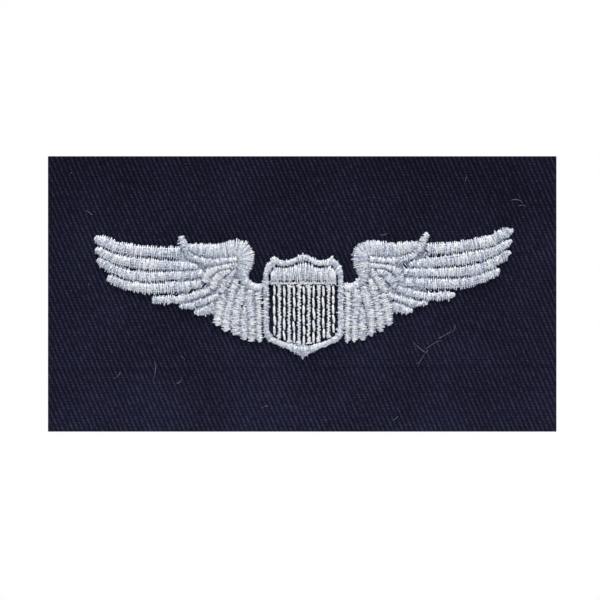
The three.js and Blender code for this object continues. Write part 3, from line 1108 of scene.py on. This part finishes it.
@dataclass
class TwillPanel:
    """The navy cloth: a woven relief on the face, cut straight, flat behind."""

    material: Material
    cuts: int = 4  # grid cells from one wale to the next
    wale_depth: float = 0.1
    wale_mean: float = 0.7  # share of a wale's height that lies under the cloth's mean face
    pick_depth: float = 0.05
    waviness: float = 0.06
    wave_scale: float = 0.06
    crease_height: float = 0.12
    crease_level: float = -13.05  # where the crease crosses the middle of the cloth
    crease_slope: float = 0.0098
    crease_width: float = 0.4
    hollow_depth: float = 0.6  # the hollow under the crease, against the crease
    hollow_drop: float = 1.1
    hollow_width: float = 0.8

    def build(self) -> None:
        low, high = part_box("twill_panel")
        piece = mesh_piece("twill_cloth", self._shell(low, high), self.material)
        declare(piece, "twill_panel")

    def relief(self, x: float, z: float) -> float:
        """Returns the height of the face at a place, in millimetres above its mean.

        Args:
            x: Place across, in millimetres.
            z: Place upward, in millimetres.

        Returns:
            The height in millimetres.
        """
        ridge = 0.5 - 0.5 * math.cos(TURN * (x + z * WALE_LEAN) / WALE_PITCH)
        pick = math.sin(TURN * z / PICK_PITCH)
        weave = self.wale_depth * (ridge - self.wale_mean) + self.pick_depth * pick * ridge
        wave = noise.noise(Vector((x * self.wave_scale, z * self.wave_scale, 3.0)))
        above = z - self.crease_level - self.crease_slope * x
        fold = math.exp(-(above / self.crease_width) ** 2)
        fold -= self.hollow_depth * math.exp(-((above + self.hollow_drop) / self.hollow_width) ** 2)
        return weave + self.waviness * wave + self.crease_height * fold

    def _shell(self, low: Vector, high: Vector) -> bmesh.types.BMesh:
        """Returns the closed shell of the cloth.

        Args:
            low: The cloth box's low corner.
            high: Its high corner.

        Returns:
            The shell.
        """
        half_width = (high.x - low.x) / 2 / MM
        half_height = (high.z - low.z) / 2 / MM
        rows = round(4 * half_height / PICK_PITCH)
        reach = half_width + half_height * WALE_LEAN
        columns = 2 * math.ceil(reach * self.cuts / WALE_PITCH + 1)
        shape = bmesh.new()
        grid = []
        for row in range(rows + 1):
            z = -half_height + 2 * half_height * row / rows
            line, last = [], None
            for column in range(columns + 1):
                x = (column - columns / 2) * WALE_PITCH / self.cuts - z * WALE_LEAN
                x = min(max(x, -half_width), half_width)
                if last is None or x != last[0]:
                    height = self.relief(x, z)
                    last = (x, shape.verts.new((x * MM, low.y - height * MM, z * MM)))
                line.append(last[1])
            grid.append(line)
        fill_grid(shape, grid)
        close_behind(shape, high.y)
        return shape


@dataclass
class Backing:
    """The non-woven backing, cut flush with the cloth and slightly uneven behind."""

    material: Material
    cell: float = 0.8
    unevenness: float = 0.05
    uneven_scale: float = 0.5

    def build(self) -> None:
        low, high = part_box("backing")
        shape = bmesh.new()
        across = round((high.x - low.x) / MM / self.cell)
        upward = round((high.z - low.z) / MM / self.cell)
        grid = []
        for row in range(upward + 1):
            z = low.z + (high.z - low.z) * row / upward
            line = []
            for column in range(across + 1):
                x = low.x + (high.x - low.x) * column / across
                place = Vector((x / MM * self.uneven_scale, z / MM * self.uneven_scale, 9.0))
                bump = noise.fractal(place, 1.0, 2.0, 3)
                line.append(shape.verts.new((x, high.y + (bump - 1) * self.unevenness * MM, z)))
            grid.append(line)
        fill_grid(shape, grid[::-1])
        close_behind(shape, low.y)
        piece = mesh_piece("backing_sheet", shape, self.material)
        declare(piece, "backing")


def fill_grid(shape: bmesh.types.BMesh, grid: list[list[bmesh.types.BMVert]]) -> None:
    """Adds smooth faces between the rows of a grid; a corner can be there twice.

    Args:
        shape: The shape that holds the grid's vertices.
        grid: The rows of vertices.
    """
    for lower, upper in zip(grid, grid[1:]):
        for square in zip(lower, lower[1:], upper[1:], upper):
            corners = list(dict.fromkeys(square))
            if len(corners) > 2:
                shape.faces.new(corners).smooth = True


def close_behind(shape: bmesh.types.BMesh, plane: float) -> None:
    """Gives an open sheet a rim down to the plane y = `plane`, with a flat face to close it.

    Args:
        shape: The open sheet.
        plane: The y of the flat face.
    """
    border = [edge for edge in shape.edges if edge.is_boundary]
    made = bmesh.ops.extrude_edge_only(shape, edges=border)["geom"]
    far = [item for item in made if isinstance(item, bmesh.types.BMVert)]
    for vertex in far:
        vertex.co.y = plane
    for edge in border:
        edge.smooth = False
    rim = [item for item in made if isinstance(item, bmesh.types.BMEdge) and item.is_boundary]
    for edge in rim:
        edge.smooth = False
    bmesh.ops.contextual_create(shape, geom=rim)
    bmesh.ops.recalc_face_normals(shape, faces=shape.faces)


def mesh_piece(name: str, shape: bmesh.types.BMesh, material: Material) -> Object:
    """Turns a shape into a piece with one material.

    Args:
        name: The piece's name.
        shape: The shape, which is freed.
        material: Its material.

    Returns:
        The piece.
    """
    mesh = bpy.data.meshes.new(name)
    shape.to_mesh(mesh)
    shape.free()
    mesh.materials.append(material)
    piece = bpy.data.objects.new(name, mesh)
    bpy.context.collection.objects.link(piece)
    return piece


@dataclass
class Lint:
    """Dust fibres that have settled on the cloth: place, length, heading in degrees and curl."""

    maker: ThreadMaker
    material: Material
    radius: float = 0.022
    lift: float = 0.06  # height of a fibre's ends over the cloth
    arch: float = 0.12  # and how much higher its middle is
    steps: int = 6
    fibres: tuple = (
        (-39.1, 15.1, 1.2, -40, 10), (-42.2, 21.8, 0.5, 30, 0), (-34.1, -15.3, 1.6, 20, 60),
        (-27.1, -15.5, 3.4, 65, 50), (-22.8, -16.2, 1.5, 10, 80), (-21.3, -12.0, 1.0, 120, 30),
        (-7.3, -20.7, 1.2, 40, -50), (21.0, -12.9, 3.3, 62, -15), (22.5, -10.0, 3.0, 40, -20),
        (20.2, -8.7, 3.0, -50, 20), (24.7, -8.1, 2.6, 25, 10), (27.4, -6.9, 1.4, 60, 40),
        (40.0, 16.6, 2.2, 140, 70), (39.4, 16.0, 1.2, 20, -60), (29.6, 20.4, 0.9, 75, 0),
        (16.5, -22.9, 1.1, 15, 60), (-38.7, 1.5, 0.5, 80, 0), (14.2, 10.8, 1.4, -20, 70),
    )

    def build(self) -> None:
        """Makes all the fibres as one piece."""
        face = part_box("twill_panel")[0].y
        plan = ThreadPlan()
        for x, z, length, heading, curl in self.fibres:
            path = []
            for step in range(self.steps + 1):
                turn = math.radians(heading + curl * step / self.steps)
                lift = self.lift + self.arch * math.sin(math.pi * step / self.steps)
                path.append(Vector((x * MM, face - lift * MM, z * MM)))
                x += length / self.steps * math.cos(turn)
                z += length / self.steps * math.sin(turn)
            plan.add(path, Lay.ALONG)
        piece = self.maker.grow("lint_fibres", plan, self.material, Strand_Radius=self.radius,
                                Path_Step=0.2)
        declare(piece)


# ---------------------------- studio


@dataclass
class Studio:
    """White surroundings, soft light from above and below, and a long lens square to the face."""

    view_width: float = 109.1
    aim: tuple = (-0.4, -1.1)  # the middle of the picture, across and up
    lens: float = 200.0
    floor_drop: float = 75.0
    floor_size: float = 380.0

    def build(self) -> None:
        """Sets up the camera, the lights and the floor."""
        scene = bpy.context.scene
        scene.view_settings.view_transform = "Standard"
        self._camera()
        self._world()
        self._light("upper_light", (0.02, -0.2, 0.5), 0.25, 3.75, (1.0, 0.96, 0.88))
        self._light("lower_light", (-0.1, -0.42, -0.2), 0.4, 0.2, (0.82, 0.9, 1.0))
        self._light("rear_light", (0.1, 0.45, 0.3), 0.4, 2.1, (1.0, 1.0, 1.0))
        self._floor()

    def _camera(self) -> None:
        """Adds the camera."""
        camera = bpy.data.objects.new("camera", bpy.data.cameras.new("camera"))
        bpy.context.collection.objects.link(camera)
        camera.data.lens = self.lens
        distance = self.view_width * self.lens / camera.data.sensor_width
        camera.location = (self.aim[0] * MM, -distance * MM, self.aim[1] * MM)
        camera.rotation_euler = (math.pi / 2, 0, 0)
        camera.data.clip_start = 0.01
        bpy.context.scene.camera = camera

    def _world(self) -> None:
        """White all round, and dimmer as a light than as a background."""
        world = bpy.data.worlds.new("white_room")
        bpy.context.scene.world = world
        world.use_nodes = True
        graph = Graph(world.node_tree)
        seen = graph.add("ShaderNodeLightPath").outputs["Is Camera Ray"]
        light = world.node_tree.nodes["Background"]
        light.inputs["Color"].default_value = (0.88, 0.94, 1.0, 1)
        light.inputs["Strength"].default_value = 0.3
        white = graph.add("ShaderNodeBackground", (1, 1, 1, 1), 1.0)
        both = graph.add("ShaderNodeMixShader", seen, light.outputs[0], white.outputs[0])
        graph.feed(world.node_tree.nodes["World Output"].inputs["Surface"], both.outputs[0])

    def _light(self, name: str, place: tuple, size: float, power: float, colour: tuple) -> None:
        """Adds a soft square light that points at the badge; place and size in metres.

        Args:
            name: The light's name.
            place: Where it is.
            size: The length of its side.
            power: Its power in watts.
            colour: Its linear colour.
        """
        light = bpy.data.objects.new(name, bpy.data.lights.new(name, "AREA"))
        light.data.size = size
        light.data.energy = power
        light.data.color = colour
        light.location = place
        light.rotation_euler = (-Vector(place)).to_track_quat("-Z", "Y").to_euler()
        bpy.context.collection.objects.link(light)

    def _floor(self) -> None:
        """Adds the plain pale floor, well below the badge."""
        shape = bmesh.new()
        half = self.floor_size / 2 * MM
        corners = [(-half, -half), (half, -half), (half, half), (-half, half)]
        shape.faces.new([shape.verts.new((x, y, -self.floor_drop * MM)) for x, y in corners])
        material = bpy.data.materials.new("floor_paint")
        material.use_nodes = True
        surface = material.node_tree.nodes["Principled BSDF"]
        surface.inputs["Base Color"].default_value = (0.9, 0.9, 0.9, 1)
        surface.inputs["Roughness"].default_value = 0.9
        mesh_piece("floor", shape, material)


# ---------------------------- the badge


def main() -> None:
    """Builds the badge and the studio around it."""
    logging.basicConfig(level=logging.INFO, format="%(message)s")
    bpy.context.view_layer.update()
    Studio().build()
    silver = ThreadFinish("silver_thread", roughness=0.38, specular=0.6).material()
    bobbin = ThreadFinish("bobbin_thread", roughness=0.6, specular=0.3, shade=(0.74, 0.74, 0.71),
                          body=(0.86, 0.86, 0.83), light=(0.94, 0.94, 0.91)).material()
    navy = TwillFinish("navy_twill", roughness=0.9, specular=0.1).material()
    felt = NonWovenFinish("white_backing", roughness=0.95, specular=0.15).material()
    dust = LintFinish("dust_fibre", roughness=0.8, specular=0.2).material()
    maker = ThreadMaker()
    maker.build()
    Backing(felt).build()
    TwillPanel(navy).build()
    Underlay(maker, silver).build()
    Embroidery(maker, silver).build()
    Underside(maker, bobbin, silver).build()
    Lint(maker, dust).build()


if __name__ == "__main__":
    main()
